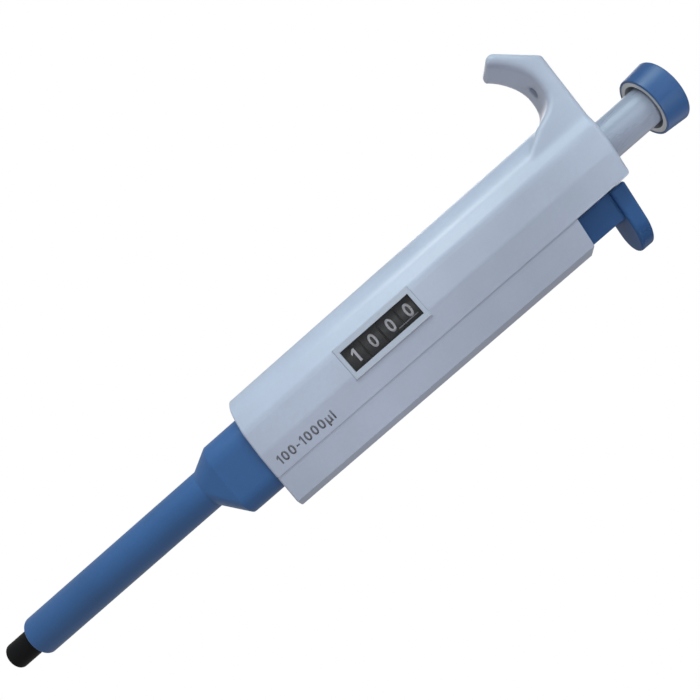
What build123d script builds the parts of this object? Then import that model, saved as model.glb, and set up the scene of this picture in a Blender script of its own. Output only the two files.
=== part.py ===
from build123d import *
import os

os.makedirs("parts", exist_ok=True)

# Single-channel adjustable air-displacement pipette, 100 to 1000 microlitres.
# Millimetres. +Z runs up the pipette's axis; the origin is the centre of the nose's lower end.
# The finger hook points to -X, the tip-ejector spine to +X, the number window to -Y.

# ---- overall heights along the axis; slanted ends are given by their height on the axis
TIP_Z = 0.0
BODY_BOTTOM_Z = 94.1
BODY_TOP_Z = 214.1
TOP_SLOPE = 0.12
BOTTOM_SLOPE = 0.05
KNOB_RIM_Z = 229.5
KNOB_SHOULDER_Z = 236.0
TOTAL_LENGTH = 238.2

# ---- column section (one half, mirrored about the X-Z plane)
COLUMN_LEFT_X = -14.2
COLUMN_ROUND_X = -8.0
COLUMN_ROUND_Y = 9.1
FRONT_LEFT_X = -4.2
FRONT_RIGHT_X = 3.4
FRONT_Y = 10.8
SEAM_X = 10.7
SEAM_COLUMN_Y = 9.5
FACET_EDGE_R = 5.0
TOP_FILLET = 1.4
BOTTOM_CHAMFER = 0.4
CUTTER_REACH = 60.0

# ---- spine section (one half) and heights
SPINE_SEAM_Y = 9.3
SPINE_CORNER_X = 18.7
SPINE_CORNER_Y = 7.8
SPINE_RIGHT_X = 20.2
SPINE_RIGHT_Y = 6.0
SPINE_TOP_Z = 196.6
SPINE_TOP_CHAMFER = 1.5
SPINE_FLOOR_T = 1.2
SPINE_CAVITY_X = 18.9
SPINE_CAVITY_Y = 5.6

# ---- finger hook
HOOK_TIP_X = -38.0
HOOK_TIP_HALF_W = 6.5
HOOK_ROOT_X = -4.0
HOOK_ROOT_HALF_W = 9.45
HOOK_BEND_X = -27.2
HOOK_BEND_R = 1.5
HOOK_ARM_END = (-36.0, 209.1)
HOOK_TIP = (-36.5, 206.8)
HOOK_UNDER = [(-34.1, 205.9), (-30.2, 209.2), (-27.2, 210.8), (-23.6, 211.7), (-20.0, 211.5),
              (-17.0, 210.3), (-14.8, 207.2), (-13.4, 203.4)]
HOOK_UNDER_START = (0.66, 0.75)
HOOK_UNDER_END = (0.3, -0.95)
HOOK_ROOT_LOW = (-6.0, 191.0)
HOOK_TAG_HOLE_X = -22.4
HOOK_TAG_HOLE_R = 1.6
HOOK_TAG_HOLE_DEPTH = 2.4
HOOK_UNDERSIDE_Z = 211.7

# ---- bore of the handle and the clearances used between moving pieces
BORE_R = 9.2
CLEARANCE = 0.35
INSERT_R = 9.15
BODY_TOP_WALL = 3.0

# ---- number window and counter
WINDOW_HALF_W = 3.3
WINDOW_BOTTOM_Z = 127.65
WINDOW_TOP_Z = 150.75
BEZEL_HALF_W = 5.1
BEZEL_MARGIN_Z = 1.3
BEZEL_FRONT_Y = 10.95
BEZEL_EDGE = 0.25
BEZEL_BACK_Y = 10.0
POCKET_HALF_W = 4.2
POCKET_MARGIN_Z = 0.6
POCKET_BACK_Y = 7.6
LENS_BACK_Y = 9.2
LENS_CENTRE_Y = 9.6
WHEEL_R = 8.6
WHEEL_BORE_R = 5.6
WHEEL_WIDTH = 5.8
WHEEL_PITCH = 6.0
WHEEL_FIRST_Z = 130.25
WHEEL_CHAMFER = 0.2
WHEEL_NAMES = ["wheel_thousands", "wheel_hundreds", "wheel_tens", "wheel_units"]
COUNTER_TUBE_R = 5.2
COUNTER_TUBE_BORE = 4.2
COUNTER_BASE_Z = 124.6
COUNTER_BASE_T = 2.4
COUNTER_TUBE_TOP_Z = 145.0
COUNTER_PLATE_Z = 153.6
COUNTER_PLATE_T = 2.4
COUNTER_PLATE_BORE = 5.0
BUSH_FLANGE_R = 7.5
BUSH_FLANGE_T = 2.0

# ---- plunger train
SPINDLE_R = 2.5
SPINDLE_BORE_R = 2.9
SPINDLE_BOTTOM_Z = 119.2
ROD_R = 5.6
ROD_BORE_R = 2.55
ROD_BOTTOM_Z = 193.4
ROD_TOP_Z = 234.5
ROD_FLANGE_R = 7.4
ROD_FLANGE_T = 2.0
STOP_NUT_Z = 157.0
STOP_NUT_T = 6.0
STOP_BOSS_R = 4.0
STOP_BOSS_TOP_Z = 172.0
MEASURING_STROKE = 11.1
STOP_GAP = 0.1
WASHER_T = 2.0
BLOWOUT_LENGTH = 6.0
CAP_T = 2.0
CAP_R = 7.0
SLEEVE_BOTTOM_Z = 195.8
SLEEVE_LENGTH = 11.0
SLEEVE_R = 8.85

# ---- springs
RETURN_R = 5.5
RETURN_WIRE_R = 0.5
RETURN_TURNS = 7
BLOWOUT_R = 5.2
BLOWOUT_WIRE_R = 0.5
BLOWOUT_TURNS = 3
EJECT_R = 2.5
EJECT_WIRE_R = 0.4
EJECT_TURNS = 10

# ---- push button
KNOB_RIM_R = 8.75
KNOB_SHOULDER_R = 9.3
KNOB_DOME_MID_R = 5.4
KNOB_DOME_MID_Z = 237.6
KNOB_SHOULDER_EDGE = 0.5
KNOB_RIM_EDGE = 0.25
KNOB_RECESS_R = 8.1
KNOB_RECESS_Z = 234.5
RING_INNER_R = 6.8
RING_BOTTOM_Z = 229.6

# ---- nose, barrel and piston
NOSE_R = 3.9
NOSE_TOP_Z = 10.0
NOSE_BORE_R = 1.6
NOSE_EDGE_R = 0.5
BARREL_LOW_R = 4.85
BARREL_LOW_Z = 12.0
BARREL_CONE_Z = 71.5
BARREL_UPPER_R = 6.9
BARREL_UPPER_Z = 79.5
BARREL_FLANGE_Z = 107.0
BARREL_FLANGE_T = 3.0
CYLINDER_R = 5.75
CYLINDER_Z = 82.5
SEAL_SEAT_Z = 104.0
SEAL_SEAT_R = 6.2
SEAL_RING_R = 5.8
SEAL_WIRE_R = 0.4
RETAINER_BORE_R = 5.7
NUT_T = 4.0
NUT_BORE_R = 6.0
PISTON_R = 5.35
PISTON_BOTTOM_Z = 97.3
PISTON_TOP_Z = 115.0
COUPLING_R = 3.5
PISTON_EDGE = 0.5

# ---- tip ejector
EJECT_SLEEVE_R = 6.0
EJECT_SLEEVE_BORE = 5.2
EJECT_SLEEVE_Z = 9.4
EJECT_SLEEVE_EDGE = 0.6
EJECT_CONE_LOW_Z = 74.6
EJECT_CONE_TOP_Z = 81.5
BLOCK_LEFT_X = -9.2
BLOCK_RIGHT_X = 13.4
BLOCK_HALF_Y = 8.4
BLOCK_LEFT_R = 7.0
BLOCK_RIGHT_R = 5.0
BLOCK_TOP_Z = 106.0
BLOCK_BORE_R = 7.25
CONE_CORNER_GAP = 0.05
BLOCK_EDGE = 0.8
BRACKET_Z = 102.9
BRACKET_X = 17.4
BRACKET_HALF_Y = 4.4
BRACKET_NOTCH_X = 4.5
EJECT_ROD_X = 14.8
EJECT_ROD_R = 1.4
EJECT_ROD_TOP_Z = 190.0
STEM_LEFT_X = 10.85
STEM_RIGHT_X = 18.5
STEM_HALF_Y = 5.2
STEM_BOTTOM_Z = 184.0
THUMB_HALF_Y = 6.5
THUMB_RIGHT_X = 28.0
THUMB_PROFILE = [(STEM_LEFT_X, 206.6), (STEM_LEFT_X, 211.2), (THUMB_RIGHT_X, 208.1),
                 (THUMB_RIGHT_X, 204.0)]
THUMB_EDGE = 0.7
GUIDE_Z = 148.0
GUIDE_T = 2.0
GUIDE_HOLE_R = 1.8
CLIP_Z = 178.0
CLIP_T = 1.5
CLIP_R = 3.3

# ---- calibration plug in the back face
PLUG_R = 2.6
PLUG_T = 0.8
PLUG_Z = 176.0


def column_half(sign):
    return [(COLUMN_ROUND_X, sign * COLUMN_ROUND_Y), (FRONT_LEFT_X, sign * FRONT_Y),
            (FRONT_RIGHT_X, sign * FRONT_Y), (SEAM_X, sign * SEAM_COLUMN_Y)]


def spine_half(sign):
    return [(SEAM_X, sign * SPINE_SEAM_Y), (SPINE_CORNER_X, sign * SPINE_CORNER_Y),
            (SPINE_RIGHT_X, sign * SPINE_RIGHT_Y)]


def rounded_outline(left, right, half, left_r, right_r):
    """Rectangle with one corner radius on the left and another on the right."""
    with BuildSketch(mode=Mode.PRIVATE) as outline:
        with BuildLine():
            Line((left + left_r, -half), (right - right_r, -half))
            JernArc((right - right_r, -half), (1, 0), right_r, 90)
            Line((right, -half + right_r), (right, half - right_r))
            JernArc((right, half - right_r), (0, 1), right_r, 90)
            Line((right - right_r, half), (left + left_r, half))
            JernArc((left + left_r, half), (-1, 0), left_r, 90)
            Line((left, half - left_r), (left, -half + left_r))
            JernArc((left, -half + left_r), (0, -1), left_r, 90)
        make_face()
    return outline.sketch


def block_outline(grow):
    return rounded_outline(BLOCK_LEFT_X - grow, BLOCK_RIGHT_X + grow, BLOCK_HALF_Y + grow,
                           BLOCK_LEFT_R + grow, BLOCK_RIGHT_R + grow)


def slanted_height(height_on_axis, slope, x):
    return height_on_axis - slope * x


def slanted_cutter(height_on_axis, slope, reach):
    """Everything on one side of a slanted plane: above it if reach is positive, below it if not."""
    with BuildPart(mode=Mode.PRIVATE) as cutter:
        with BuildSketch(Plane.XZ):
            with BuildLine():
                Polyline((-CUTTER_REACH, slanted_height(height_on_axis, slope, -CUTTER_REACH)),
                         (CUTTER_REACH, slanted_height(height_on_axis, slope, CUTTER_REACH)),
                         (CUTTER_REACH, height_on_axis + reach),
                         (-CUTTER_REACH, height_on_axis + reach), close=True)
            make_face()
        extrude(amount=CUTTER_REACH, both=True)
    return cutter.part


BODY_LOWEST_Z = slanted_height(BODY_BOTTOM_Z, BOTTOM_SLOPE, SPINE_RIGHT_X)
BODY_HIGHEST_Z = slanted_height(BODY_TOP_Z, TOP_SLOPE, COLUMN_LEFT_X)
HOOK_ROOT_TOP = (HOOK_ROOT_LOW[0], slanted_height(BODY_TOP_Z, TOP_SLOPE, HOOK_ROOT_LOW[0]))
HOOK_BEND = (HOOK_BEND_X, slanted_height(BODY_TOP_Z, TOP_SLOPE, HOOK_BEND_X))


def ring_part(outer_r, inner_r, bottom_z, height):
    with BuildPart(mode=Mode.PRIVATE) as ring:
        with BuildSketch(Plane.XY.offset(bottom_z)):
            Circle(outer_r)
            Circle(inner_r, mode=Mode.SUBTRACT)
        extrude(amount=height)
    return ring.part


def spring_part(coil_r, wire_r, bottom_z, top_z, turns, centre_x):
    rise = top_z - bottom_z - 2 * wire_r
    with BuildPart(mode=Mode.PRIVATE) as coil:
        with BuildLine(Plane((centre_x, 0, bottom_z + wire_r))) as path:
            Helix(pitch=rise / turns, height=rise, radius=coil_r)
        with BuildSketch(Plane(path.line @ 0, z_dir=path.line % 0)):
            Circle(wire_r)
        sweep()
    return coil.part


# ---- handle shell: column and finger hook in one moulding
with BuildPart() as handle_shell:
    with BuildSketch(Plane.XY.offset(BODY_LOWEST_Z)) as column_section:
        with BuildLine():
            ThreePointArc(column_half(1)[0], (COLUMN_LEFT_X, 0), column_half(-1)[0])
            Polyline(*column_half(-1), *reversed(column_half(1)))
        make_face()
        fillet(column_section.vertices().filter_by_position(
            Axis.X, FRONT_LEFT_X - CLEARANCE, FRONT_RIGHT_X + CLEARANCE), FACET_EDGE_R)
    extrude(amount=BODY_HIGHEST_Z - BODY_LOWEST_Z)
    add(slanted_cutter(BODY_BOTTOM_Z, BOTTOM_SLOPE, -CUTTER_REACH), mode=Mode.SUBTRACT)
    add(slanted_cutter(BODY_TOP_Z, TOP_SLOPE, CUTTER_REACH), mode=Mode.SUBTRACT)
    chamfer(handle_shell.faces().sort_by(Axis.Z)[0].edges(), BOTTOM_CHAMFER)
    fillet(handle_shell.faces().sort_by(Axis.Z)[-1].edges(), TOP_FILLET)
    with BuildPart(mode=Mode.PRIVATE) as hook:
        with BuildSketch(Plane.XZ.offset(-CUTTER_REACH / 2)) as hook_profile:
            with BuildLine():
                Polyline(HOOK_ROOT_TOP, HOOK_BEND, HOOK_ARM_END)
                ThreePointArc(HOOK_ARM_END, HOOK_TIP, HOOK_UNDER[0])
                Spline(*HOOK_UNDER, tangents=[HOOK_UNDER_START, HOOK_UNDER_END])
                Polyline(HOOK_UNDER[-1], HOOK_ROOT_LOW, HOOK_ROOT_TOP)
            make_face()
            fillet(hook_profile.vertices().filter_by_position(
                Axis.X, HOOK_BEND_X - CLEARANCE, HOOK_BEND_X + CLEARANCE).sort_by(Axis.Y)[-1],
                HOOK_BEND_R)
        extrude(amount=CUTTER_REACH)
        with BuildSketch(Plane.XY.offset(HOOK_ROOT_LOW[1])):
            with BuildLine():
                Polyline((HOOK_TIP_X, HOOK_TIP_HALF_W), (HOOK_ROOT_X, HOOK_ROOT_HALF_W),
                         (HOOK_ROOT_X, -HOOK_ROOT_HALF_W), (HOOK_TIP_X, -HOOK_TIP_HALF_W), close=True)
            make_face()
        extrude(amount=CUTTER_REACH, mode=Mode.INTERSECT)
        side_faces = hook.faces().sort_by(Axis.Y)
        fillet(side_faces[0].edges() + side_faces[-1].edges(), TOP_FILLET)
    add(hook.part)
    with BuildSketch(Plane.XY.offset(BODY_LOWEST_Z)):
        Circle(BORE_R)
    extrude(amount=BODY_TOP_Z - BODY_TOP_WALL - BODY_LOWEST_Z, mode=Mode.SUBTRACT)
    with BuildSketch(Plane.XY.offset(BODY_TOP_Z - BODY_TOP_WALL)):
        Circle(ROD_R + CLEARANCE)
    extrude(amount=2 * BODY_TOP_WALL, mode=Mode.SUBTRACT)
    with BuildSketch(Plane.XY.offset(BODY_LOWEST_Z)):
        add(block_outline(CLEARANCE))
    extrude(amount=BLOCK_TOP_Z + 2 * CLEARANCE - BODY_LOWEST_Z, mode=Mode.SUBTRACT)
    with BuildSketch(Plane.XY.offset(BODY_LOWEST_Z)):
        with Locations((SEAM_X, 0)):
            Rectangle(BRACKET_NOTCH_X, 2 * (BRACKET_HALF_Y + CLEARANCE))
    extrude(amount=BLOCK_TOP_Z + 2 * CLEARANCE - BODY_LOWEST_Z, mode=Mode.SUBTRACT)
    with Locations((0, -BEZEL_FRONT_Y, (WINDOW_BOTTOM_Z + WINDOW_TOP_Z) / 2)):
        Box(2 * BEZEL_HALF_W, 2 * (BEZEL_FRONT_Y - BEZEL_BACK_Y),
            WINDOW_TOP_Z - WINDOW_BOTTOM_Z + 2 * BEZEL_MARGIN_Z, mode=Mode.SUBTRACT)
        Box(2 * POCKET_HALF_W, 2 * (BEZEL_FRONT_Y - POCKET_BACK_Y),
            WINDOW_TOP_Z - WINDOW_BOTTOM_Z + 2 * POCKET_MARGIN_Z, mode=Mode.SUBTRACT)
    with Locations((HOOK_TAG_HOLE_X, 0, HOOK_UNDERSIDE_Z)):
        Cylinder(HOOK_TAG_HOLE_R, 2 * HOOK_TAG_HOLE_DEPTH, mode=Mode.SUBTRACT)
    with BuildSketch(Plane.XZ.offset(-FRONT_Y)):
        with Locations((0, PLUG_Z)):
            Circle(PLUG_R)
    extrude(amount=PLUG_T, mode=Mode.SUBTRACT)
handle_shell.part.label = "handle_shell"
export_step(handle_shell.part, "parts/handle_shell.step")

# ---- spine cover: channel that hides the ejector rod
with BuildPart() as spine_cover:
    with BuildSketch(Plane.XY.offset(BODY_LOWEST_Z)):
        with BuildLine():
            Polyline(*spine_half(-1), *reversed(spine_half(1)), close=True)
        make_face()
    extrude(amount=SPINE_TOP_Z - BODY_LOWEST_Z)
    add(slanted_cutter(BODY_BOTTOM_Z, BOTTOM_SLOPE, -CUTTER_REACH), mode=Mode.SUBTRACT)
    add(slanted_cutter(SPINE_TOP_Z, TOP_SLOPE, CUTTER_REACH), mode=Mode.SUBTRACT)
    chamfer(spine_cover.faces().sort_by(Axis.Z)[0].edges().filter_by_position(
        Axis.X, SEAM_X + CLEARANCE, SPINE_RIGHT_X + CLEARANCE), BOTTOM_CHAMFER)
    chamfer(spine_cover.faces().sort_by(Axis.Z)[-1].edges().sort_by(Axis.X)[-1], SPINE_TOP_CHAMFER)
    with BuildSketch(Plane.XY.offset(BODY_BOTTOM_Z + SPINE_FLOOR_T)):
        with Locations(((SEAM_X + SPINE_CAVITY_X) / 2, 0)):
            Rectangle(SPINE_CAVITY_X - SEAM_X, 2 * SPINE_CAVITY_Y)
    extrude(amount=SPINE_TOP_Z - BODY_BOTTOM_Z, mode=Mode.SUBTRACT)
    with BuildSketch(Plane.XY.offset(BODY_LOWEST_Z)):
        add(block_outline(CLEARANCE))
    extrude(amount=BLOCK_TOP_Z + 2 * CLEARANCE - BODY_LOWEST_Z, mode=Mode.SUBTRACT)
spine_cover.part.label = "spine_cover"
export_step(spine_cover.part, "parts/spine_cover.step")

# ---- window bezel and lens
WINDOW_MID_Z = (WINDOW_BOTTOM_Z + WINDOW_TOP_Z) / 2
WINDOW_HEIGHT = WINDOW_TOP_Z - WINDOW_BOTTOM_Z
with BuildPart() as window_bezel:
    with BuildSketch(Plane.XZ.offset(BEZEL_BACK_Y)):
        with Locations((0, WINDOW_MID_Z)):
            Rectangle(2 * BEZEL_HALF_W, WINDOW_HEIGHT + 2 * BEZEL_MARGIN_Z)
    extrude(amount=BEZEL_FRONT_Y - BEZEL_BACK_Y)
    chamfer(window_bezel.faces().sort_by(Axis.Y)[0].edges(), BEZEL_EDGE)
    with BuildSketch(Plane.XZ.offset(BEZEL_BACK_Y)):
        with Locations((0, WINDOW_MID_Z)):
            Rectangle(2 * WINDOW_HALF_W, WINDOW_HEIGHT)
    extrude(amount=2 * (BEZEL_FRONT_Y - BEZEL_BACK_Y), mode=Mode.SUBTRACT)
window_bezel.part.label = "window_bezel"
export_step(window_bezel.part, "parts/window_bezel.step")

with BuildPart() as window_lens:
    with BuildSketch(Plane.XZ.offset(LENS_BACK_Y)):
        with Locations((0, WINDOW_MID_Z)):
            Rectangle(2 * POCKET_HALF_W, WINDOW_HEIGHT + 2 * POCKET_MARGIN_Z)
    extrude(amount=BEZEL_BACK_Y - LENS_BACK_Y)
window_lens.part.label = "window_lens"
export_step(window_lens.part, "parts/window_lens.step")

# ---- calibration plug
with BuildPart() as calibration_plug:
    with BuildSketch(Plane.XZ.offset(-FRONT_Y)):
        with Locations((0, PLUG_Z)):
            Circle(PLUG_R)
    extrude(amount=PLUG_T)
calibration_plug.part.label = "calibration_plug"
export_step(calibration_plug.part, "parts/calibration_plug.step")

# ---- number wheels
for index, wheel_name in enumerate(WHEEL_NAMES):
    wheel_z = WHEEL_FIRST_Z + index * WHEEL_PITCH - WHEEL_WIDTH / 2
    with BuildPart() as wheel:
        with BuildSketch(Plane.XY.offset(wheel_z)):
            Circle(WHEEL_R)
        extrude(amount=WHEEL_WIDTH)
        chamfer(wheel.edges(), WHEEL_CHAMFER)
        with BuildSketch(Plane.XY.offset(wheel_z)):
            Circle(WHEEL_BORE_R)
        extrude(amount=WHEEL_WIDTH, mode=Mode.SUBTRACT)
    wheel.part.label = wheel_name
    export_step(wheel.part, f"parts/{wheel_name}.step")

# ---- counter frame (fixed tube the wheels turn on), its cover plate and the drive bush
with BuildPart() as counter_frame:
    with BuildSketch(Plane.XY.offset(COUNTER_BASE_Z)):
        Circle(INSERT_R)
    extrude(amount=COUNTER_BASE_T)
    with BuildSketch(Plane.XY.offset(COUNTER_BASE_Z)):
        Circle(COUNTER_TUBE_R)
    extrude(amount=COUNTER_TUBE_TOP_Z - COUNTER_BASE_Z)
    with BuildSketch(Plane.XY.offset(COUNTER_BASE_Z)):
        Circle(COUNTER_TUBE_BORE)
    extrude(amount=COUNTER_TUBE_TOP_Z - COUNTER_BASE_Z, mode=Mode.SUBTRACT)
counter_frame.part.label = "counter_frame"
export_step(counter_frame.part, "parts/counter_frame.step")

counter_plate = ring_part(INSERT_R, COUNTER_PLATE_BORE, COUNTER_PLATE_Z, COUNTER_PLATE_T)
counter_plate.label = "counter_plate"
export_step(counter_plate, "parts/counter_plate.step")

UNITS_BOTTOM_Z = WHEEL_FIRST_Z + 3 * WHEEL_PITCH - WHEEL_WIDTH / 2
UNITS_TOP_Z = UNITS_BOTTOM_Z + WHEEL_WIDTH
with BuildPart() as drive_bush:
    with BuildSketch(Plane.XY.offset(UNITS_BOTTOM_Z)):
        Circle(WHEEL_BORE_R)
    extrude(amount=WHEEL_WIDTH)
    with BuildSketch(Plane.XY.offset(UNITS_TOP_Z)):
        Circle(BUSH_FLANGE_R)
    extrude(amount=BUSH_FLANGE_T)
    with BuildSketch(Plane.XY.offset(UNITS_BOTTOM_Z)):
        Circle(SPINDLE_BORE_R)
    extrude(amount=WHEEL_WIDTH + BUSH_FLANGE_T, mode=Mode.SUBTRACT)
drive_bush.part.label = "drive_bush"
export_step(drive_bush.part, "parts/drive_bush.step")

# ---- first-stop nut with its boss
with BuildPart() as stop_nut:
    with BuildSketch(Plane.XY.offset(STOP_NUT_Z)):
        Circle(INSERT_R)
    extrude(amount=STOP_NUT_T)
    with BuildSketch(Plane.XY.offset(STOP_NUT_Z)):
        Circle(STOP_BOSS_R)
    extrude(amount=STOP_BOSS_TOP_Z - STOP_NUT_Z)
    with BuildSketch(Plane.XY.offset(STOP_NUT_Z)):
        Circle(SPINDLE_BORE_R)
    extrude(amount=STOP_BOSS_TOP_Z - STOP_NUT_Z, mode=Mode.SUBTRACT)
stop_nut.part.label = "stop_nut"
export_step(stop_nut.part, "parts/stop_nut.step")

# ---- carriage washer, springs and spring cap
WASHER_Z = STOP_BOSS_TOP_Z + MEASURING_STROKE + STOP_GAP
BLOWOUT_Z = WASHER_Z + WASHER_T
CAP_Z = BLOWOUT_Z + BLOWOUT_LENGTH

return_spring = spring_part(RETURN_R, RETURN_WIRE_R, STOP_NUT_Z + STOP_NUT_T, WASHER_Z,
                            RETURN_TURNS, 0)
return_spring.label = "return_spring"
export_step(return_spring, "parts/return_spring.step")

stop_washer = ring_part(ROD_FLANGE_R, SPINDLE_BORE_R, WASHER_Z, WASHER_T)
stop_washer.label = "stop_washer"
export_step(stop_washer, "parts/stop_washer.step")

blowout_spring = spring_part(BLOWOUT_R, BLOWOUT_WIRE_R, BLOWOUT_Z, CAP_Z, BLOWOUT_TURNS, 0)
blowout_spring.label = "blowout_spring"
export_step(blowout_spring, "parts/blowout_spring.step")

spring_cap = ring_part(CAP_R, SPINDLE_BORE_R, CAP_Z, CAP_T)
spring_cap.label = "spring_cap"
export_step(spring_cap, "parts/spring_cap.step")

# ---- setting sleeve: the screw that sets how far up the plunger comes
setting_sleeve = ring_part(SLEEVE_R, ROD_R + CLEARANCE, SLEEVE_BOTTOM_Z, SLEEVE_LENGTH)
setting_sleeve.label = "setting_sleeve"
export_step(setting_sleeve, "parts/setting_sleeve.step")

# ---- push button: cap, ring, rod and drive spindle
with BuildPart() as push_button_cap:
    with BuildSketch(Plane.XZ):
        with BuildLine():
            Polyline((0, KNOB_RECESS_Z), (KNOB_RECESS_R, KNOB_RECESS_Z), (KNOB_RECESS_R, KNOB_RIM_Z),
                     (KNOB_RIM_R, KNOB_RIM_Z), (KNOB_SHOULDER_R, KNOB_SHOULDER_Z))
            ThreePointArc((KNOB_SHOULDER_R, KNOB_SHOULDER_Z), (KNOB_DOME_MID_R, KNOB_DOME_MID_Z),
                          (0, TOTAL_LENGTH))
            Line((0, TOTAL_LENGTH), (0, KNOB_RECESS_Z))
        make_face()
    revolve(axis=Axis.Z)
    fillet(push_button_cap.edges().filter_by(GeomType.CIRCLE).filter_by_position(
        Axis.Z, KNOB_SHOULDER_Z - KNOB_RIM_EDGE, KNOB_SHOULDER_Z + KNOB_RIM_EDGE), KNOB_SHOULDER_EDGE)
    fillet(push_button_cap.faces().sort_by(Axis.Z)[0].edges().sort_by(SortBy.LENGTH)[-1],
           KNOB_RIM_EDGE)
push_button_cap.part.label = "push_button_cap"
export_step(push_button_cap.part, "parts/push_button_cap.step")

push_button_ring = ring_part(KNOB_RECESS_R, RING_INNER_R, RING_BOTTOM_Z, KNOB_RECESS_Z - RING_BOTTOM_Z)
push_button_ring.label = "push_button_ring"
export_step(push_button_ring, "parts/push_button_ring.step")

with BuildPart() as push_rod:
    with BuildSketch(Plane.XY.offset(ROD_BOTTOM_Z)):
        Circle(ROD_R)
    extrude(amount=ROD_TOP_Z - ROD_BOTTOM_Z)
    with BuildSketch(Plane.XY.offset(ROD_BOTTOM_Z)):
        Circle(ROD_FLANGE_R)
    extrude(amount=ROD_FLANGE_T)
    with BuildSketch(Plane.XY.offset(ROD_BOTTOM_Z)):
        Circle(ROD_BORE_R)
    extrude(amount=ROD_TOP_Z - ROD_BOTTOM_Z, mode=Mode.SUBTRACT)
push_rod.part.label = "push_rod"
export_step(push_rod.part, "parts/push_rod.step")

with BuildPart() as drive_spindle:
    with BuildSketch(Plane.XY.offset(SPINDLE_BOTTOM_Z)):
        RegularPolygon(SPINDLE_R, 6)
    extrude(amount=ROD_TOP_Z - SPINDLE_BOTTOM_Z)
drive_spindle.part.label = "drive_spindle"
export_step(drive_spindle.part, "parts/drive_spindle.step")

# ---- piston and its coupling
with BuildPart() as piston:
    with BuildSketch(Plane.XY.offset(PISTON_BOTTOM_Z)):
        Circle(PISTON_R)
    extrude(amount=PISTON_TOP_Z - PISTON_BOTTOM_Z)
    chamfer(piston.edges(), PISTON_EDGE)
piston.part.label = "piston"
export_step(piston.part, "parts/piston.step")

with BuildPart() as piston_coupling:
    with BuildSketch(Plane.XY.offset(PISTON_TOP_Z)):
        Circle(COUPLING_R)
    extrude(amount=SPINDLE_BOTTOM_Z - CLEARANCE - PISTON_TOP_Z)
piston_coupling.part.label = "piston_coupling"
export_step(piston_coupling.part, "parts/piston_coupling.step")

# ---- tip cone: nose, barrel and cylinder in one black moulding
BARREL_TOP_Z = BARREL_FLANGE_Z + BARREL_FLANGE_T
with BuildPart() as tip_cone:
    with BuildSketch(Plane.XZ):
        with BuildLine():
            Polyline((NOSE_BORE_R, TIP_Z), (NOSE_R, TIP_Z), (NOSE_R, NOSE_TOP_Z),
                     (BARREL_LOW_R, BARREL_LOW_Z), (BARREL_LOW_R, BARREL_CONE_Z),
                     (BARREL_UPPER_R, BARREL_UPPER_Z), (BARREL_UPPER_R, BARREL_FLANGE_Z),
                     (INSERT_R, BARREL_FLANGE_Z), (INSERT_R, BARREL_TOP_Z),
                     (SEAL_SEAT_R, BARREL_TOP_Z), (SEAL_SEAT_R, SEAL_SEAT_Z),
                     (CYLINDER_R, SEAL_SEAT_Z), (CYLINDER_R, CYLINDER_Z),
                     (NOSE_BORE_R, BARREL_CONE_Z), close=True)
        make_face()
    revolve(axis=Axis.Z)
    fillet(tip_cone.edges().filter_by(GeomType.CIRCLE).filter_by_position(
        Axis.Z, TIP_Z - 0.1, TIP_Z + 0.1).sort_by(SortBy.LENGTH)[-1], NOSE_EDGE_R)
tip_cone.part.label = "tip_cone"
export_step(tip_cone.part, "parts/tip_cone.step")

with BuildPart() as piston_seal:
    with Locations((0, 0, SEAL_SEAT_Z + SEAL_WIRE_R)):
        Torus(SEAL_RING_R, SEAL_WIRE_R)
piston_seal.part.label = "piston_seal"
export_step(piston_seal.part, "parts/piston_seal.step")

seal_retainer = ring_part(SEAL_SEAT_R, RETAINER_BORE_R, SEAL_SEAT_Z + 2 * SEAL_WIRE_R,
                          BARREL_TOP_Z - SEAL_SEAT_Z - 2 * SEAL_WIRE_R)
seal_retainer.label = "seal_retainer"
export_step(seal_retainer, "parts/seal_retainer.step")

barrel_nut = ring_part(INSERT_R, NUT_BORE_R, BARREL_TOP_Z, NUT_T)
barrel_nut.label = "barrel_nut"
export_step(barrel_nut, "parts/barrel_nut.step")

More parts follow.
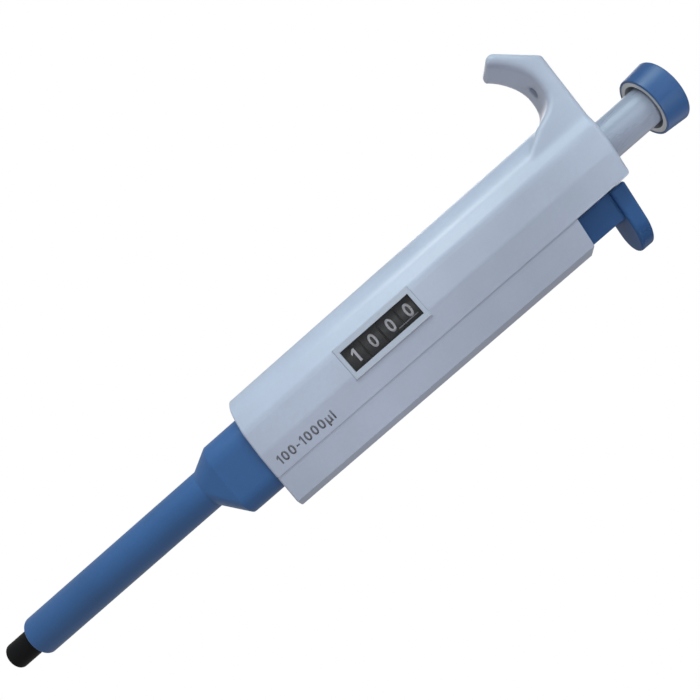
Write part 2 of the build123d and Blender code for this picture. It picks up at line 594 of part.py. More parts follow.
# ---- ejector collar: sleeve, cone, block and rod bracket in one moulding
with BuildPart() as ejector_collar:
    with BuildSketch(Plane.XY.offset(EJECT_CONE_TOP_Z)):
        add(block_outline(0))
    extrude(amount=BLOCK_TOP_Z - EJECT_CONE_TOP_Z)
    with BuildSketch(Plane.XY.offset(EJECT_CONE_TOP_Z)):
        add(block_outline(0))
    with BuildSketch(Plane.XY.offset(EJECT_CONE_LOW_Z)):
        add(rounded_outline(-EJECT_SLEEVE_R, EJECT_SLEEVE_R, EJECT_SLEEVE_R,
                            EJECT_SLEEVE_R - CONE_CORNER_GAP, EJECT_SLEEVE_R - CONE_CORNER_GAP))
    loft()
    fillet(ejector_collar.edges().filter_by_position(
        Axis.Z, EJECT_CONE_TOP_Z - CONE_CORNER_GAP, EJECT_CONE_TOP_Z + CONE_CORNER_GAP), BLOCK_EDGE)
    with BuildSketch(Plane.XY.offset(EJECT_SLEEVE_Z)):
        Circle(EJECT_SLEEVE_R)
    extrude(amount=EJECT_CONE_LOW_Z - EJECT_SLEEVE_Z)
    with BuildSketch(Plane.XY.offset(BRACKET_Z)):
        with Locations((BRACKET_X / 2, 0)):
            Rectangle(BRACKET_X, 2 * BRACKET_HALF_Y)
    extrude(amount=BLOCK_TOP_Z - BRACKET_Z)
    fillet(ejector_collar.faces().sort_by(Axis.Z)[0].edges(), EJECT_SLEEVE_EDGE)
    with BuildSketch(Plane.XZ):
        with BuildLine():
            Polyline((0, EJECT_SLEEVE_Z), (EJECT_SLEEVE_BORE, EJECT_SLEEVE_Z),
                     (EJECT_SLEEVE_BORE, BARREL_CONE_Z),
                     (BLOCK_BORE_R, BARREL_UPPER_Z), (BLOCK_BORE_R, BLOCK_TOP_Z + CLEARANCE),
                     (0, BLOCK_TOP_Z + CLEARANCE), close=True)
        make_face()
    revolve(axis=Axis.Z, mode=Mode.SUBTRACT)
    with BuildSketch(Plane.XY.offset(BRACKET_Z)):
        with Locations((EJECT_ROD_X, 0)):
            Circle(EJECT_ROD_R)
    extrude(amount=BLOCK_TOP_Z - BRACKET_Z, mode=Mode.SUBTRACT)
ejector_collar.part.label = "ejector_collar"
export_step(ejector_collar.part, "parts/ejector_collar.step")

# ---- ejector rod, clip, guide and spring
with BuildPart() as ejector_rod:
    with BuildSketch(Plane.XY.offset(BRACKET_Z)):
        with Locations((EJECT_ROD_X, 0)):
            Circle(EJECT_ROD_R)
    extrude(amount=EJECT_ROD_TOP_Z - BRACKET_Z)
ejector_rod.part.label = "ejector_rod"
export_step(ejector_rod.part, "parts/ejector_rod.step")

ejector_clip = ring_part(CLIP_R, EJECT_ROD_R, CLIP_Z, CLIP_T).moved(Location((EJECT_ROD_X, 0, 0)))
ejector_clip.label = "ejector_clip"
export_step(ejector_clip, "parts/ejector_clip.step")

with BuildPart() as ejector_guide:
    with BuildSketch(Plane.XY.offset(GUIDE_Z)):
        with Locations(((SEAM_X + SPINE_CAVITY_X) / 2, 0)):
            Rectangle(SPINE_CAVITY_X - SEAM_X, 2 * SPINE_CAVITY_Y)
        with Locations((EJECT_ROD_X, 0)):
            Circle(GUIDE_HOLE_R, mode=Mode.SUBTRACT)
    extrude(amount=GUIDE_T)
ejector_guide.part.label = "ejector_guide"
export_step(ejector_guide.part, "parts/ejector_guide.step")

ejector_spring = spring_part(EJECT_R, EJECT_WIRE_R, GUIDE_Z + GUIDE_T, CLIP_Z, EJECT_TURNS,
                             EJECT_ROD_X)
ejector_spring.label = "ejector_spring"
export_step(ejector_spring, "parts/ejector_spring.step")

# ---- ejector thumb button
with BuildPart() as ejector_button:
    with BuildSketch(Plane.XZ):
        with BuildLine():
            Polyline(*THUMB_PROFILE, close=True)
        make_face()
    extrude(amount=THUMB_HALF_Y, both=True)
    with BuildSketch(Plane.XY.offset(THUMB_PROFILE[-1][1])):
        with Locations(((THUMB_PROFILE[0][0] + THUMB_RIGHT_X - THUMB_HALF_Y) / 2, 0)):
            Rectangle(THUMB_RIGHT_X - THUMB_HALF_Y - THUMB_PROFILE[0][0], 2 * THUMB_HALF_Y)
        with Locations((THUMB_RIGHT_X - THUMB_HALF_Y, 0)):
            Circle(THUMB_HALF_Y)
    extrude(amount=2 * THUMB_HALF_Y, mode=Mode.INTERSECT)
    fillet(ejector_button.edges(), THUMB_EDGE)
    with BuildSketch(Plane.XY.offset(STEM_BOTTOM_Z)):
        with Locations(((STEM_LEFT_X + STEM_RIGHT_X) / 2, 0)):
            Rectangle(STEM_RIGHT_X - STEM_LEFT_X, 2 * STEM_HALF_Y)
    extrude(amount=THUMB_PROFILE[0][1] + THUMB_EDGE - STEM_BOTTOM_Z)
    with BuildSketch(Plane.XY.offset(STEM_BOTTOM_Z)):
        with Locations((EJECT_ROD_X, 0)):
            Circle(EJECT_ROD_R)
    extrude(amount=EJECT_ROD_TOP_Z - STEM_BOTTOM_Z, mode=Mode.SUBTRACT)
ejector_button.part.label = "ejector_button"
export_step(ejector_button.part, "parts/ejector_button.step")
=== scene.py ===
"""Studio scene of a single-channel adjustable pipette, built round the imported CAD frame."""
import math

import bmesh
import bpy
from mathutils import Matrix, Vector


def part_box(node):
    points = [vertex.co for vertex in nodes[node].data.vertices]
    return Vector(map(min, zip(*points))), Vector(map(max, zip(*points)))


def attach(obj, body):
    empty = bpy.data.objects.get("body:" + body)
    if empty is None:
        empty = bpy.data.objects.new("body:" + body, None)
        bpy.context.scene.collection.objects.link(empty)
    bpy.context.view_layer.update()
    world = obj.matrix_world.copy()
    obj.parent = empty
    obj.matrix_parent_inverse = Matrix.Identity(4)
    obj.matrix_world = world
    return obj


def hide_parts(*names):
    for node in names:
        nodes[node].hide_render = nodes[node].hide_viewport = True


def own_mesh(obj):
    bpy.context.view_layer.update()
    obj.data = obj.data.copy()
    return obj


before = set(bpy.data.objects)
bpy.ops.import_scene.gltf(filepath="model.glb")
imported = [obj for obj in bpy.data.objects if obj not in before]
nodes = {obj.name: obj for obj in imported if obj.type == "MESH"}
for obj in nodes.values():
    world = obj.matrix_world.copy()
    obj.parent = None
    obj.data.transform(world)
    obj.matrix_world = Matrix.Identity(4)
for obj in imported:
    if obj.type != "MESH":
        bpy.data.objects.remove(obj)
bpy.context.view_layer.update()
MM = 0.001
WHITE = (1.0, 1.0, 1.0, 1.0)


# ---------------------------------------------------------------- camera
CAMERA_AT = Vector((14.33, -201.58, 144.34)) * MM
LOOKS_AT = Vector((-3.02, 0.0, 129.42)) * MM
CAMERA_ROLL = math.radians(48.76)
LENS_MM = 38.24
SENSOR_MM = 36.0
CLIP_NEAR = 0.01
CLIP_FAR = 20.0


def make_camera():
    forward = (LOOKS_AT - CAMERA_AT).normalized()
    level_right = forward.cross(Vector((0, 0, 1))).normalized()
    level_up = level_right.cross(forward)
    right = level_right * math.cos(CAMERA_ROLL) + level_up * math.sin(CAMERA_ROLL)
    up = right.cross(forward)
    turn = Matrix((right, up, -forward)).transposed()
    data = bpy.data.cameras.new("camera")
    data.lens = LENS_MM
    data.sensor_width = SENSOR_MM
    data.clip_start = CLIP_NEAR
    data.clip_end = CLIP_FAR
    camera = bpy.data.objects.new("camera", data)
    camera.matrix_world = Matrix.Translation(CAMERA_AT) @ turn.to_4x4()
    bpy.context.scene.collection.objects.link(camera)
    bpy.context.scene.camera = camera


make_camera()


# ---------------------------------------------------------------- node helpers
# the low and the high tone of a noise pattern that a change of look runs between
NOISE_SPAN = (0.3, 0.7)
SPECKLE_SPAN = (0.35, 0.65)
SCUFF_SPAN = (0.35, 0.75)
TARNISH_SPAN = (0.35, 0.7)
PLAIN_STRETCH = (1.0, 1.0, 1.0)


def new_material(name):
    material = bpy.data.materials.new(name)
    material.use_nodes = True
    tree = material.node_tree
    tree.nodes.clear()
    out = tree.nodes.new("ShaderNodeOutputMaterial")
    return material, tree, out


def object_coords(tree):
    return tree.nodes.new("ShaderNodeTexCoord").outputs["Object"]


def noise(tree, coords, scale, detail=3.0, roughness=0.55, stretch=PLAIN_STRETCH):
    mapping = tree.nodes.new("ShaderNodeMapping")
    mapping.inputs["Scale"].default_value = stretch
    tree.links.new(coords, mapping.inputs["Vector"])
    node = tree.nodes.new("ShaderNodeTexNoise")
    node.inputs["Scale"].default_value = scale
    node.inputs["Detail"].default_value = detail
    node.inputs["Roughness"].default_value = roughness
    tree.links.new(mapping.outputs["Vector"], node.inputs["Vector"])
    return node.outputs["Fac"]


def remap(tree, value, low, high, to_low, to_high):
    node = tree.nodes.new("ShaderNodeMapRange")
    node.inputs["From Min"].default_value = low
    node.inputs["From Max"].default_value = high
    node.inputs["To Min"].default_value = to_low
    node.inputs["To Max"].default_value = to_high
    tree.links.new(value, node.inputs["Value"])
    return node.outputs["Result"]


def mix_colours(tree, factor, first, second):
    node = tree.nodes.new("ShaderNodeMix")
    node.data_type = "RGBA"
    tree.links.new(factor, node.inputs["Factor"])
    for socket, colour in ((node.inputs["A"], first), (node.inputs["B"], second)):
        if isinstance(colour, tuple):
            socket.default_value = (*colour, 1.0)
        else:
            tree.links.new(colour, socket)
    return node.outputs["Result"]


def scaled(colour, factor):
    return tuple(min(1.0, c * factor) for c in colour)


def bump(tree, height, strength, distance, under=None):
    node = tree.nodes.new("ShaderNodeBump")
    node.inputs["Strength"].default_value = strength
    node.inputs["Distance"].default_value = distance
    tree.links.new(height, node.inputs["Height"])
    if under is not None:
        tree.links.new(under, node.inputs["Normal"])
    return node.outputs["Normal"]


# ---------------------------------------------------------------- materials
# the moulded blend where the finger hook runs into the column; heights and sides are where it
# starts and where it is full
BLEND_RADIUS = 2.5 * MM
BLEND_SAMPLES = 8
BLEND_HEIGHTS = (0.178, 0.190)
BLEND_SIDES = (-0.003, -0.007)


def blended_root(tree, coords):
    """Normals that round the hook's root over, and leave the rest of the handle as it is."""
    split = tree.nodes.new("ShaderNodeSeparateXYZ")
    tree.links.new(coords, split.inputs["Vector"])
    high = remap(tree, split.outputs["Z"], *BLEND_HEIGHTS, 0.0, 1.0)
    left = remap(tree, split.outputs["X"], *BLEND_SIDES, 0.0, BLEND_RADIUS)
    radius = tree.nodes.new("ShaderNodeMath")
    radius.operation = "MULTIPLY"
    tree.links.new(high, radius.inputs[0])
    tree.links.new(left, radius.inputs[1])
    bevel = tree.nodes.new("ShaderNodeBevel")
    bevel.samples = BLEND_SAMPLES
    tree.links.new(radius.outputs["Value"], bevel.inputs["Radius"])
    return bevel.outputs["Normal"]


# moulded plastic: noise scales are repeats per metre
CLOUD_SCALE = 45.0
CLOUD_DETAIL = 2.0
SPECKLE_SCALE = 900.0
SPECKLE_DETAIL = 2.0
SPECKLE_SHARE = 0.12
SPECKLE_TONE = 0.82
SCUFF_SCALE = 160.0
SCUFF_DETAIL = 4.0
SCUFF_FINENESS = 0.7
SCUFF_STRETCH = (1.0, 1.0, 0.25)
SCUFF_ROUGHNESS = 0.04
WAVE_SCALE = 70.0
WAVE_DETAIL = 1.0
WAVE_STRENGTH = 0.25
WAVE_DEPTH = 0.12 * MM
GRAIN_SCALE = 2200.0
GRAIN_DETAIL = 2.0
GRAIN_STRENGTH = 0.5
GRAIN_DEPTH = 0.02 * MM


def moulded_plastic(name, colour, rough, cloud=0.05, gloss=0.5, blend_root=False):
    """Moulded plastic: slow colour clouding, spark-eroded grain, faint handling marks."""
    material, tree, out = new_material(name)
    coords = object_coords(tree)
    shader = tree.nodes.new("ShaderNodeBsdfPrincipled")
    slow = noise(tree, coords, CLOUD_SCALE, CLOUD_DETAIL)
    clouding = remap(tree, slow, *NOISE_SPAN, 0.0, 1.0)
    body = mix_colours(tree, clouding, scaled(colour, 1.0 - cloud), scaled(colour, 1.0 + cloud))
    fine = noise(tree, coords, SPECKLE_SCALE, SPECKLE_DETAIL)
    speckle = remap(tree, fine, *SPECKLE_SPAN, 0.0, SPECKLE_SHARE)
    body = mix_colours(tree, speckle, body, scaled(colour, SPECKLE_TONE))
    tree.links.new(body, shader.inputs["Base Color"])
    marks = noise(tree, coords, SCUFF_SCALE, SCUFF_DETAIL, SCUFF_FINENESS, SCUFF_STRETCH)
    roughness = remap(tree, marks, *SCUFF_SPAN, rough - SCUFF_ROUGHNESS, rough + SCUFF_ROUGHNESS)
    tree.links.new(roughness, shader.inputs["Roughness"])
    shader.inputs["Specular IOR Level"].default_value = gloss
    rounded = blended_root(tree, coords) if blend_root else None
    wave_height = noise(tree, coords, WAVE_SCALE, WAVE_DETAIL)
    normal = bump(tree, wave_height, WAVE_STRENGTH, WAVE_DEPTH, rounded)
    grain_height = noise(tree, coords, GRAIN_SCALE, GRAIN_DETAIL)
    normal = bump(tree, grain_height, GRAIN_STRENGTH, GRAIN_DEPTH, normal)
    tree.links.new(normal, shader.inputs["Normal"])
    tree.links.new(shader.outputs["BSDF"], out.inputs["Surface"])
    return material


# turned or drawn metal
METAL_ANISOTROPY = 0.5
RINGS_SCALE = 300.0
RINGS_FINENESS = 0.6
RINGS_STRETCH = (0.05, 0.05, 12.0)
RINGS_SMOOTHER = 0.06
RINGS_ROUGHER = 0.08
RINGS_STRENGTH = 0.25
RINGS_DEPTH = 0.01 * MM
TARNISH_SCALE = 120.0
TARNISH_SHARE = 0.35
TARNISH_TONE = 0.75


def turned_metal(name, colour, rough):
    """Turned or drawn metal: fine rings round the axis and a little tarnish."""
    material, tree, out = new_material(name)
    coords = object_coords(tree)
    shader = tree.nodes.new("ShaderNodeBsdfPrincipled")
    shader.inputs["Metallic"].default_value = 1.0
    shader.inputs["Anisotropic"].default_value = METAL_ANISOTROPY
    tarnish = noise(tree, coords, TARNISH_SCALE)
    dulled = remap(tree, tarnish, *TARNISH_SPAN, 0.0, TARNISH_SHARE)
    body = mix_colours(tree, dulled, colour, scaled(colour, TARNISH_TONE))
    tree.links.new(body, shader.inputs["Base Color"])
    rings = noise(tree, coords, RINGS_SCALE, roughness=RINGS_FINENESS, stretch=RINGS_STRETCH)
    roughness = remap(tree, rings, *NOISE_SPAN, rough - RINGS_SMOOTHER, rough + RINGS_ROUGHER)
    tree.links.new(roughness, shader.inputs["Roughness"])
    tree.links.new(bump(tree, rings, RINGS_STRENGTH, RINGS_DEPTH), shader.inputs["Normal"])
    tree.links.new(shader.outputs["BSDF"], out.inputs["Surface"])
    return material


# clear pane
PANE_TINT = (0.97, 0.975, 0.98)
PANE_GLOSS_TINT = (0.9, 0.92, 0.95)
PANE_IOR = 1.45
PANE_ROUGHNESS = (0.03, 0.12)
WIPE_SCALE = 260.0
WIPE_FINENESS = 0.6
WIPE_STRETCH = (1.0, 1.0, 0.2)


def clear_pane(name):
    """Clear plastic: seen through, with a gloss that grows at a slant and faint wiping marks."""
    material, tree, out = new_material(name)
    coords = object_coords(tree)
    clear = tree.nodes.new("ShaderNodeBsdfTransparent")
    clear.inputs["Color"].default_value = (*PANE_TINT, 1.0)
    gloss = tree.nodes.new("ShaderNodeBsdfGlossy")
    gloss.inputs["Color"].default_value = (*PANE_GLOSS_TINT, 1.0)
    wiped = noise(tree, coords, WIPE_SCALE, roughness=WIPE_FINENESS, stretch=WIPE_STRETCH)
    tree.links.new(remap(tree, wiped, *NOISE_SPAN, *PANE_ROUGHNESS), gloss.inputs["Roughness"])
    fresnel = tree.nodes.new("ShaderNodeFresnel")
    fresnel.inputs["IOR"].default_value = PANE_IOR
    mix = tree.nodes.new("ShaderNodeMixShader")
    tree.links.new(fresnel.outputs["Fac"], mix.inputs["Fac"])
    tree.links.new(clear.outputs["BSDF"], mix.inputs[1])
    tree.links.new(gloss.outputs["BSDF"], mix.inputs[2])
    tree.links.new(mix.outputs["Shader"], out.inputs["Surface"])
    return material


# printed ink
INK_SCALE = 1800.0
INK_THIN_SHARE = 0.5
INK_THIN_TONE = 1.25
INK_ROUGHNESS = (0.45, 0.55)
INK_STRENGTH = 0.3
INK_DEPTH = 0.01 * MM


def printed_ink(name, colour):
    """Pad-printed ink: slightly uneven cover and a satin film."""
    material, tree, out = new_material(name)
    coords = object_coords(tree)
    shader = tree.nodes.new("ShaderNodeBsdfPrincipled")
    patches = noise(tree, coords, INK_SCALE)
    thinness = remap(tree, patches, *NOISE_SPAN, 0.0, INK_THIN_SHARE)
    body = mix_colours(tree, thinness, colour, scaled(colour, INK_THIN_TONE))
    tree.links.new(body, shader.inputs["Base Color"])
    roughness = remap(tree, patches, *NOISE_SPAN, *INK_ROUGHNESS)
    tree.links.new(roughness, shader.inputs["Roughness"])
    tree.links.new(bump(tree, patches, INK_STRENGTH, INK_DEPTH), shader.inputs["Normal"])
    tree.links.new(shader.outputs["BSDF"], out.inputs["Surface"])
    return material


HANDLE_COLOUR = (0.432, 0.478, 0.603)
KNOB_COLOUR = (0.024, 0.088, 0.245)
SLEEVE_COLOUR = (0.026, 0.105, 0.29)
THUMB_COLOUR = (0.030, 0.090, 0.24)

handle_plastic = moulded_plastic("handle_plastic", HANDLE_COLOUR, 0.36, gloss=0.45,
                                 blend_root=True)
bezel_plastic = moulded_plastic("bezel_plastic", (0.415, 0.46, 0.56), 0.34, cloud=0.03)
knob_plastic = moulded_plastic("button_blue", KNOB_COLOUR, 0.38, cloud=0.08)
sleeve_plastic = moulded_plastic("ejector_blue", SLEEVE_COLOUR, 0.42, cloud=0.08)
thumb_plastic = moulded_plastic("ejector_thumb_blue", THUMB_COLOUR, 0.42, cloud=0.08, gloss=0.15)
ring_plastic = moulded_plastic("ring_grey", (0.66, 0.67, 0.65), 0.4)
rod_plastic = moulded_plastic("rod_white", (0.31, 0.35, 0.45), 0.3, cloud=0.03)
nose_plastic = moulded_plastic("nose_black", (0.008, 0.008, 0.0085), 0.5, cloud=0.15, gloss=0.08)
wheel_plastic = moulded_plastic("wheel_black", (0.012, 0.014, 0.018), 0.38, cloud=0.15, gloss=0.4)
inner_plastic = moulded_plastic("inner_plastic", (0.05, 0.05, 0.055), 0.5)
piston_plastic = moulded_plastic("piston_white", (0.75, 0.73, 0.68), 0.25)
steel = turned_metal("steel", (0.56, 0.56, 0.57), 0.3)
spring_steel = turned_metal("spring_steel", (0.50, 0.50, 0.51), 0.25)
aluminium = turned_metal("aluminium", (0.72, 0.72, 0.73), 0.34)
seal_rubber = moulded_plastic("seal_rubber", (0.015, 0.015, 0.015), 0.6)
lens_clear = clear_pane("lens_clear")
digit_ink = printed_ink("digit_ink", (0.86, 0.86, 0.95))
range_ink = printed_ink("range_ink", (0.12, 0.12, 0.145))
mark_ink = printed_ink("mark_ink", (0.30, 0.32, 0.36))

FINISHES = {
    "handle_shell": handle_plastic, "spine_cover": handle_plastic,
    "calibration_plug": bezel_plastic, "window_bezel": bezel_plastic,
    "window_lens": lens_clear, "counter_frame": inner_plastic,
    "counter_plate": inner_plastic, "stop_nut": aluminium, "return_spring": spring_steel,
    "tip_cone": nose_plastic, "barrel_nut": aluminium, "piston_seal": seal_rubber,
    "seal_retainer": inner_plastic, "ejector_guide": inner_plastic,
    "ejector_spring": spring_steel, "stop_washer": steel, "blowout_spring": spring_steel,
    "spring_cap": steel, "piston": piston_plastic, "piston_coupling": steel,
    "push_button_cap": knob_plastic, "push_button_ring": ring_plastic,
    "push_rod": rod_plastic, "drive_spindle": steel, "setting_sleeve": aluminium,
    "wheel_units": wheel_plastic, "drive_bush": inner_plastic, "wheel_tens": wheel_plastic,
    "wheel_hundreds": wheel_plastic, "wheel_thousands": wheel_plastic,
    "ejector_button": thumb_plastic, "ejector_rod": steel, "ejector_clip": steel,
    "ejector_collar": sleeve_plastic,
}
for node_name, finish in FINISHES.items():
    mesh = nodes[node_name].data
    mesh.materials.clear()
    mesh.materials.append(finish)


# ---------------------------------------------------------------- springs
# each spring's body, the joint that presses it, the height of its fixed end, and its travel
SPRINGS = {
    "return_spring": ("handle", "first_stop_slide", 163.0 * MM, 11.1 * MM),
    "blowout_spring": ("stop_carriage", "blowout_slide", 185.2 * MM, 2.0 * MM),
    "ejector_spring": ("handle", "ejector_slide", 150.0 * MM, 6.5 * MM),
}


def pressed_spring(node, body, joint, fixed_z, travel):
    """The same coil, copied into a piece of its own on the given body, with the original part
    hidden.
    """
    coil = bpy.data.objects.new(node + "_coil", nodes[node].data.copy())
    bpy.context.scene.collection.objects.link(coil)
    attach(coil, body)
    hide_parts(node)
    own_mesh(coil)


for spring_name, spring_row in SPRINGS.items():
    pressed_spring(spring_name, *spring_row)


# ---------------------------------------------------------------- digits and print
ONE_OUTLINE = [(0.44, 0.0), (0.80, 0.0), (0.80, 1.0), (0.50, 1.0), (0.05, 0.78), (0.05, 0.60),
               (0.44, 0.77)]
BOLDNESS = 0.022
GLYPH_RESOLUTION = 6
MERGE_GAP = 1e-6


def one_mesh():
    """The digit one, drawn with a flag."""
    bm = bmesh.new()
    bm.faces.new([bm.verts.new((x, y, 0.0)) for x, y in ONE_OUTLINE])
    return bm


def font_mesh(text):
    curve = bpy.data.curves.new("glyph", "FONT")
    curve.body = text
    curve.resolution_u = GLYPH_RESOLUTION
    curve.offset = BOLDNESS
    holder = bpy.data.objects.new("glyph", curve)
    bpy.context.scene.collection.objects.link(holder)
    bpy.context.view_layer.update()
    mesh = bpy.data.meshes.new_from_object(holder)
    bpy.data.objects.remove(holder)
    bm = bmesh.new()
    bm.from_mesh(mesh)
    bpy.data.meshes.remove(mesh)
    return bm


def glyph_mesh(text, wide, tall, depth):
    """One character as a thin closed mesh, of the given size and centred on the origin."""
    bm = one_mesh() if text == "1" else font_mesh(text)
    low = Vector([min(v.co[i] for v in bm.verts) for i in range(3)])
    high = Vector([max(v.co[i] for v in bm.verts) for i in range(3)])
    mid = (low + high) / 2
    for v in bm.verts:
        v.co.x = (v.co.x - mid.x) * wide / (high.x - low.x)
        v.co.y = (v.co.y - mid.y) * tall / (high.y - low.y)
        v.co.z = 0.0
    bmesh.ops.remove_doubles(bm, verts=bm.verts, dist=MERGE_GAP)
    top = bmesh.ops.extrude_face_region(bm, geom=list(bm.faces))["geom"]
    for v in [g for g in top if isinstance(g, bmesh.types.BMVert)]:
        v.co.z = depth
    return bm


def merge_into(whole, bm):
    part = bpy.data.meshes.new("part")
    bm.to_mesh(part)
    bm.free()
    whole.from_mesh(part)
    bpy.data.meshes.remove(part)


def cut_across(bm, low, high, step):
    """Cuts the mesh into strips along Y, so that it can bend round a wheel."""
    for k in range(int((high - low) / step) + 1):
        bmesh.ops.bisect_plane(bm, geom=list(bm.verts) + list(bm.edges) + list(bm.faces),
                               plane_co=(0, low + k * step, 0), plane_no=(0, 1, 0))


def finish_piece(bm, name, material, body):
    bmesh.ops.recalc_face_normals(bm, faces=bm.faces)
    mesh = bpy.data.meshes.new(name)
    bm.to_mesh(mesh)
    bm.free()
    mesh.materials.append(material)
    piece = bpy.data.objects.new(name, mesh)
    bpy.context.scene.collection.objects.link(piece)
    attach(piece, body)


DIGIT_TALL = 4.0 * MM
DIGIT_WIDE = 2.15 * MM
NARROW_ONE = 1.5 * MM
DIGIT_SINK = 0.03 * MM
DIGIT_DEPTH = 0.06 * MM
DIGIT_STRIP = 0.25 * MM
DIGITS_ROUND = 10
FRONT_X = -0.2 * MM


def wheel_digits(node, body, values):
    """A ring of digits round one number wheel; values[0] faces the window."""
    low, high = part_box(node)
    radius = (high[0] - low[0]) / 2
    middle_z = (low[2] + high[2]) / 2
    ring = bmesh.new()
    for place, value in enumerate(values):
        wide = NARROW_ONE if value == "1" else DIGIT_WIDE
        bm = glyph_mesh(value, wide, DIGIT_TALL, DIGIT_DEPTH)
        cut_across(bm, -DIGIT_TALL / 2, DIGIT_TALL / 2, DIGIT_STRIP)
        start = FRONT_X / radius + place * 2 * math.pi / DIGITS_ROUND
        for v in bm.verts:
            angle = start - v.co.y / radius
            reach = radius - DIGIT_SINK + v.co.z
            v.co = Vector((reach * math.sin(angle), -reach * math.cos(angle), middle_z + v.co.x))
        merge_into(ring, bm)
    finish_piece(ring, node + "_digits", digit_ink, body)


wheel_digits("wheel_units", "units_drum", "0505050505")
wheel_digits("wheel_tens", "tens_drum", "0987654321")
wheel_digits("wheel_hundreds", "hundreds_drum", "0987654321")
wheel_digits("wheel_thousands", "thousands_drum", "1098765432")

# volume range, printed on the slanted facet right of the window, reading upwards
FACET_LOW = Vector((3.4, -10.8, 0.0)) * MM
FACET_HIGH = Vector((10.7, -9.5, 0.0)) * MM
RANGE_CENTRE_X = 7.45 * MM
RANGE_CENTRE_Z = 106.5 * MM
RANGE_TALL = 2.75 * MM
RANGE_GAP = 0.58 * MM
PRINT_DEPTH = 0.04 * MM
PRINT_SINK = 0.015 * MM
# each character's width and height, and the height of its middle above the line's middle
RANGE_GLYPHS = {
    "0": (1.80 * MM, RANGE_TALL, 0.0), "1": (0.95 * MM, RANGE_TALL, 0.0),
    "-": (1.00 * MM, 0.42 * MM, -0.15 * MM), "µ": (1.65 * MM, 2.70 * MM, -0.72 * MM),
    "l": (0.48 * MM, RANGE_TALL, 0.0),
}


def print_range():
    text = "100-1000µl"
    total = sum(RANGE_GLYPHS[c][0] for c in text) + RANGE_GAP * (len(text) - 1)
    across = (FACET_HIGH - FACET_LOW).normalized()
    outward = Vector((across.y, -across.x, 0.0))
    share = (RANGE_CENTRE_X - FACET_LOW.x) / (FACET_HIGH.x - FACET_LOW.x)
    centre = FACET_LOW + (FACET_HIGH - FACET_LOW) * share
    centre.z = RANGE_CENTRE_Z
    line = bmesh.new()
    along = -total / 2
    for character in text:
        wide, tall, lift = RANGE_GLYPHS[character]
        bm = glyph_mesh(character, wide, tall, PRINT_DEPTH)
        middle = along + wide / 2
        for v in bm.verts:
            v.co = (centre + Vector((0, 0, v.co.x + middle)) - across * (v.co.y + lift)
                    + outward * (v.co.z - PRINT_SINK))
        merge_into(line, bm)
        along += wide + RANGE_GAP
    finish_piece(line, "range_print", range_ink, "handle")


print_range()

# reading line, on the back of the window right of the two upper digits
LINE_X = 2.0 * MM
LINE_HALF_W = 0.13 * MM
LINE_LOW_Z = 143.4 * MM
LINE_HIGH_Z = 149.9 * MM
LINE_PARTS = 12


def print_reading_line():
    back_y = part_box("window_lens")[1][1]
    bm = bmesh.new()
    for k in range(LINE_PARTS):
        low_z = LINE_LOW_Z + (LINE_HIGH_Z - LINE_LOW_Z) * k / LINE_PARTS
        high_z = LINE_LOW_Z + (LINE_HIGH_Z - LINE_LOW_Z) * (k + 1) / LINE_PARTS
        bm.faces.new([bm.verts.new((x, back_y, z)) for x, z in (
            (LINE_X - LINE_HALF_W, low_z), (LINE_X + LINE_HALF_W, low_z),
            (LINE_X + LINE_HALF_W, high_z), (LINE_X - LINE_HALF_W, high_z))])
    bmesh.ops.remove_doubles(bm, verts=bm.verts, dist=MERGE_GAP)
    top = bmesh.ops.extrude_face_region(bm, geom=list(bm.faces))["geom"]
    for v in [g for g in top if isinstance(g, bmesh.types.BMVert)]:
        v.co.y += PRINT_DEPTH
    finish_piece(bm, "reading_line", mark_ink, "handle")


print_reading_line()


# ---------------------------------------------------------------- stage and light
FLOOR_Z = -0.09
FLOOR_HALF = 6.0


def make_floor():
    bm = bmesh.new()
    corners = [(-FLOOR_HALF, -FLOOR_HALF), (FLOOR_HALF, -FLOOR_HALF), (FLOOR_HALF, FLOOR_HALF),
               (-FLOOR_HALF, FLOOR_HALF)]
    bm.faces.new([bm.verts.new((x, y, FLOOR_Z)) for x, y in corners])
    mesh = bpy.data.meshes.new("floor")
    bm.to_mesh(mesh)
    bm.free()
    floor = bpy.data.objects.new("floor", mesh)
    bpy.context.scene.collection.objects.link(floor)
    material, tree, out = new_material("floor_white")
    glow = tree.nodes.new("ShaderNodeEmission")
    glow.inputs["Color"].default_value = WHITE
    glow.inputs["Strength"].default_value = 1.0
    tree.links.new(glow.outputs["Emission"], out.inputs["Surface"])
    mesh.materials.append(material)
    floor.visible_diffuse = False
    floor.visible_glossy = False
    floor.visible_shadow = False


make_floor()

SPOT_RADIUS = 0.03
AIM = (0.0, 0.0, 0.12)
WINDOW_AIM = (0.0, 0.0, 0.122)
BUTTON_AIM = (0.0, 0.0, 0.2370)


def hang_lamp(data, at, towards, power, colour):
    data.energy = power
    data.color = colour
    lamp = bpy.data.objects.new(data.name, data)
    place = Vector(at)
    aim = (Vector(towards) - place).to_track_quat("-Z", "Y")
    lamp.matrix_world = Matrix.Translation(place) @ aim.to_matrix().to_4x4()
    bpy.context.scene.collection.objects.link(lamp)


def area_light(name, at, towards, size_x, size_y, power, colour):
    data = bpy.data.lights.new(name, "AREA")
    data.shape = "RECTANGLE"
    data.size = size_x
    data.size_y = size_y
    hang_lamp(data, at, towards, power, colour)


def spot_light(name, at, towards, half_angle, blend, power, colour):
    data = bpy.data.lights.new(name, "SPOT")
    data.spot_size = 2 * math.radians(half_angle)
    data.spot_blend = blend
    data.shadow_soft_size = SPOT_RADIUS
    hang_lamp(data, at, towards, power, colour)


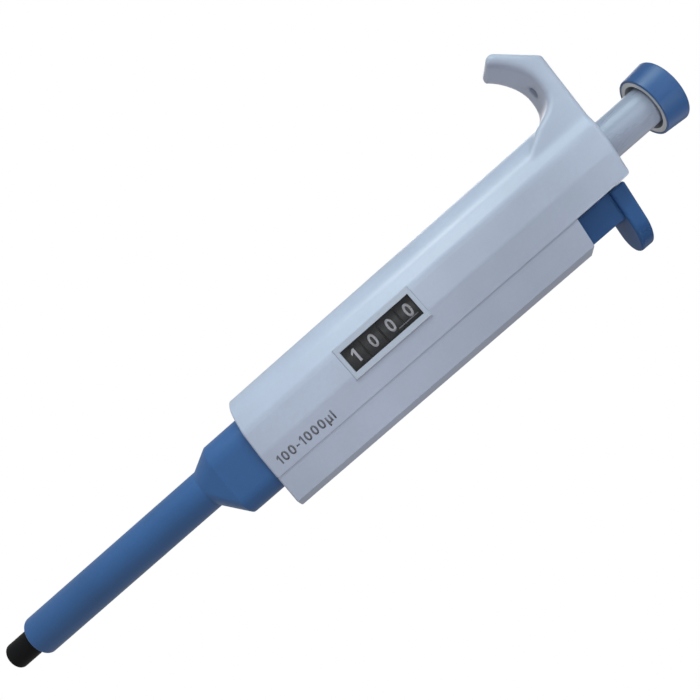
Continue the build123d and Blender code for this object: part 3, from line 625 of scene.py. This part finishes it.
area_light("key_left", (-0.75, -0.45, 0.45), AIM, 0.5, 0.9, 4.25, (0.75, 1.0, 1.0))
area_light("fill_front", (-0.15, -0.95, 0.95), AIM, 0.7, 0.7, 3.9, (0.92, 0.95, 1.0))
area_light("back", (-0.25, 0.95, 0.55), AIM, 0.7, 0.7, 3.2, (1.0, 1.0, 1.0))
area_light("edge_strip", (-0.79, -0.41, 0.27), AIM, 0.03, 0.2, 1.8, (0.94, 1.0, 1.0))
area_light("back_right", (0.95, 0.6, 0.4), AIM, 0.6, 0.6, 0.8, (1.0, 0.98, 0.94))
spot_light("window_glint", (-0.2, -1.0, 0.28), WINDOW_AIM, 3.4, 0.8, 4.8, (1.0, 1.0, 1.0))
spot_light("knob_fill", (0.38, -0.42, 0.19), BUTTON_AIM, 2.3, 0.35, 10.5, (0.90, 0.98, 1.0))

AMBIENT_ABOVE = (0.25, 0.235, 0.22)
AMBIENT_BELOW = (0.50, 0.50, 0.50)
HORIZON_BLUR = 0.35


def make_world():
    """White to the camera; to the object a soft glow, stronger from below as over a table."""
    world = bpy.data.worlds.new("studio")
    bpy.context.scene.world = world
    world.use_nodes = True
    tree = world.node_tree
    tree.nodes.clear()
    out = tree.nodes.new("ShaderNodeOutputWorld")
    seen = tree.nodes.new("ShaderNodeBackground")
    seen.inputs["Color"].default_value = WHITE
    seen.inputs["Strength"].default_value = 1.0
    lights = tree.nodes.new("ShaderNodeBackground")
    split = tree.nodes.new("ShaderNodeSeparateXYZ")
    coords = tree.nodes.new("ShaderNodeTexCoord")
    tree.links.new(coords.outputs["Generated"], split.inputs["Vector"])
    height = remap(tree, split.outputs["Z"], -HORIZON_BLUR, HORIZON_BLUR, 0.0, 1.0)
    ambient = mix_colours(tree, height, AMBIENT_BELOW, AMBIENT_ABOVE)
    tree.links.new(ambient, lights.inputs["Color"])
    path = tree.nodes.new("ShaderNodeLightPath")
    mix = tree.nodes.new("ShaderNodeMixShader")
    tree.links.new(path.outputs["Is Camera Ray"], mix.inputs["Fac"])
    tree.links.new(lights.outputs["Background"], mix.inputs[1])
    tree.links.new(seen.outputs["Background"], mix.inputs[2])
    tree.links.new(mix.outputs["Shader"], out.inputs["Surface"])


make_world()
bpy.context.scene.view_settings.view_transform = "Standard"

bpy.context.view_layer.update()
